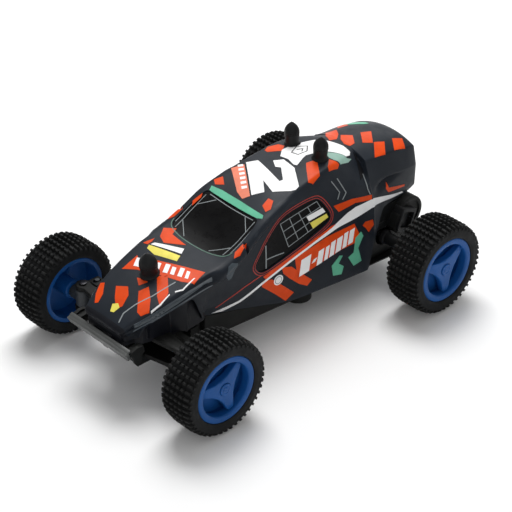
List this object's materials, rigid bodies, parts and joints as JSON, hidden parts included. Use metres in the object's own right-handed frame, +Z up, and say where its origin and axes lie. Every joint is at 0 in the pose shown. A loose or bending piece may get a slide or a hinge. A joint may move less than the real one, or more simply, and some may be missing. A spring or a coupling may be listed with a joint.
{
  "type": "remote control car",
  "caption": "Toy off-road buggy: wedge body shell on a tub chassis, lugged tyres on three-spoke rims, rack-steered front wheels and a geared rear axle.",
  "frame": {"origin": "on the floor, half way between the front and rear axle lines, in the car's middle plane", "axes": "+Z up, -Y forward (the nose), +X the car's left side"},
  "size_m": [0.1364, 0.1994, 0.0924],
  "materials": {
    "antenna_sleeve": "wire insulation",
    "black_plastic": "fine textured black moulded plastic",
    "board_green": "solder masked circuit board",
    "brass": "brass",
    "bumper_plastic": "dark grey moulded plastic",
    "cell_wrap": "printed cell sleeve, left plain",
    "chip_black": "moulded chip package",
    "cover_plastic": "blue black moulded plastic",
    "gear_nylon": "natural nylon",
    "knuckle_plastic": "grey moulded plastic",
    "rim_plastic": "bright blue moulded plastic",
    "shell_plastic": "satin dark anthracite moulded plastic",
    "steel": "plated steel",
    "tyre_rubber": "soft lugged rubber",
    "window_black": "gloss black panel",
    "wire_sleeve": "wire insulation"
  },
  "bodies": {
    "car_body": {"body_shell": "shell_plastic", "windscreen": "window_black", "side_window_left": "window_black", "side_window_right": "window_black", "bonnet_post": "black_plastic", "roof_post_left": "black_plastic", "roof_post_right": "black_plastic", "body_screws": "steel", "chassis_tub": "black_plastic", "front_bumper": "bumper_plastic", "front_carrier": "black_plastic", "steering_cover": "cover_plastic", "steering_plate": "black_plastic", "steering_screws": "steel", "steering_motor": "steel", "steering_gear_shaft": "steel", "centring_spring": "steel", "kingpins": "steel", "axle_bushes": "brass", "reduction_shaft": "steel", "drive_motor": "steel", "gearbox_case": "black_plastic", "gearbox_cover": "black_plastic", "gearbox_screws": "steel", "rear_housing": "black_plastic", "circuit_board": "board_green", "board_components": "chip_black", "battery_cells": "cell_wrap", "battery_contacts": "steel", "power_switch": "steel", "motor_wires": "wire_sleeve", "antenna_wire": "antenna_sleeve", "carrier_screws": "steel"},
    "front_wheel_left": {"front_rim_left": "rim_plastic", "front_tyre_left": "tyre_rubber", "front_hub_cap_left": "rim_plastic"},
    "front_wheel_right": {"front_rim_right": "rim_plastic", "front_tyre_right": "tyre_rubber", "front_hub_cap_right": "rim_plastic"},
    "steer_left": {"knuckle_left": "knuckle_plastic", "stub_axle_left": "steel"},
    "steer_right": {"knuckle_right": "knuckle_plastic", "stub_axle_right": "steel"},
    "tie_rack": {"steering_rack": "black_plastic"},
    "steer_gear": {"steering_gear": "gear_nylon"},
    "steer_motor_shaft": {"steering_pinion": "gear_nylon"},
    "rear_axle_set": {"rear_axle": "steel", "axle_nuts": "steel", "axle_gear": "gear_nylon", "rear_rim_left": "rim_plastic", "rear_rim_right": "rim_plastic", "rear_tyre_left": "tyre_rubber", "rear_tyre_right": "tyre_rubber", "rear_hub_caps": "rim_plastic"},
    "reduction": {"reduction_gear": "gear_nylon"},
    "drive_shaft": {"drive_pinion": "brass"},
    "trim": {"trim_lever": "black_plastic"},
    "switch_knob": {"switch_slider": "black_plastic"},
    "door": {"battery_door": "black_plastic", "door_screw": "steel"}
  },
  "joints": [
    {"name": "rear_axle_spin", "type": "hinge", "parent": "car_body", "child": "rear_axle_set", "pos_m": [0, 0.07475, 0.025], "axis": [1, 0, 0], "continuous": true},
    {"name": "reduction_spin", "type": "hinge", "parent": "car_body", "child": "reduction", "pos_m": [0, 0.08129, 0.03256], "axis": [1, 0, 0], "continuous": true},
    {"name": "drive_pinion_spin", "type": "hinge", "parent": "car_body", "child": "drive_shaft", "pos_m": [0, 0.09065, 0.0342], "axis": [1, 0, 0], "continuous": true},
    {"name": "steer_left_turn", "type": "hinge", "parent": "car_body", "child": "steer_left", "pos_m": [0.04, -0.07475, 0.025], "axis": [0, 0, 1], "range_deg": [-22, 22], "stiffness_Nm_per_rad": 0.02},
    {"name": "steer_right_turn", "type": "hinge", "parent": "car_body", "child": "steer_right", "pos_m": [-0.04, -0.07475, 0.025], "axis": [0, 0, 1], "range_deg": [-22.5, 22.5]},
    {"name": "rack_slide", "type": "slide", "parent": "car_body", "child": "tie_rack", "axis": [1, 0, 0], "range_m": [-0.0036, 0.0036]},
    {"name": "steer_gear_turn", "type": "hinge", "parent": "car_body", "child": "steer_gear", "pos_m": [0, -0.05945, 0.025], "axis": [0, 0, 1], "range_deg": [-52, 52]},
    {"name": "steer_pinion_turn", "type": "hinge", "parent": "car_body", "child": "steer_motor_shaft", "pos_m": [0, -0.04945, 0.03], "axis": [0, 0, 1], "range_deg": [-155, 155]},
    {"name": "front_left_spin", "type": "hinge", "parent": "steer_left", "child": "front_wheel_left", "pos_m": [0.055, -0.07475, 0.025], "axis": [1, 0, 0], "continuous": true},
    {"name": "front_right_spin", "type": "hinge", "parent": "steer_right", "child": "front_wheel_right", "pos_m": [-0.055, -0.07475, 0.025], "axis": [1, 0, 0], "continuous": true},
    {"name": "trim_turn", "type": "hinge", "parent": "car_body", "child": "trim", "pos_m": [0, -0.07075, 0.014], "axis": [0, 0, 1], "range_deg": [-15, 15]},
    {"name": "switch_slide", "type": "slide", "parent": "car_body", "child": "switch_knob", "axis": [1, 0, 0], "range_m": [0, 0.0045]},
    {"name": "door_hinge", "type": "hinge", "parent": "car_body", "child": "door", "pos_m": [0, -0.0172, 0.0124], "axis": [-1, 0, 0], "range_deg": [0, 90], "stiffness_Nm_per_rad": 0.02, "springref_deg": -34.38}
  ],
  "couplings": [
    {"joint": "reduction_spin", "follows": "rear_axle_spin", "ratio": -3},
    {"joint": "drive_pinion_spin", "follows": "rear_axle_spin", "ratio": 8.4},
    {"joint": "steer_right_turn", "follows": "steer_left_turn", "ratio": 1},
    {"joint": "rack_slide", "follows": "steer_left_turn", "m_per_rad": -0.009},
    {"joint": "steer_gear_turn", "follows": "steer_left_turn", "ratio": -2.25},
    {"joint": "steer_pinion_turn", "follows": "steer_left_turn", "ratio": 6.75}
  ]
}
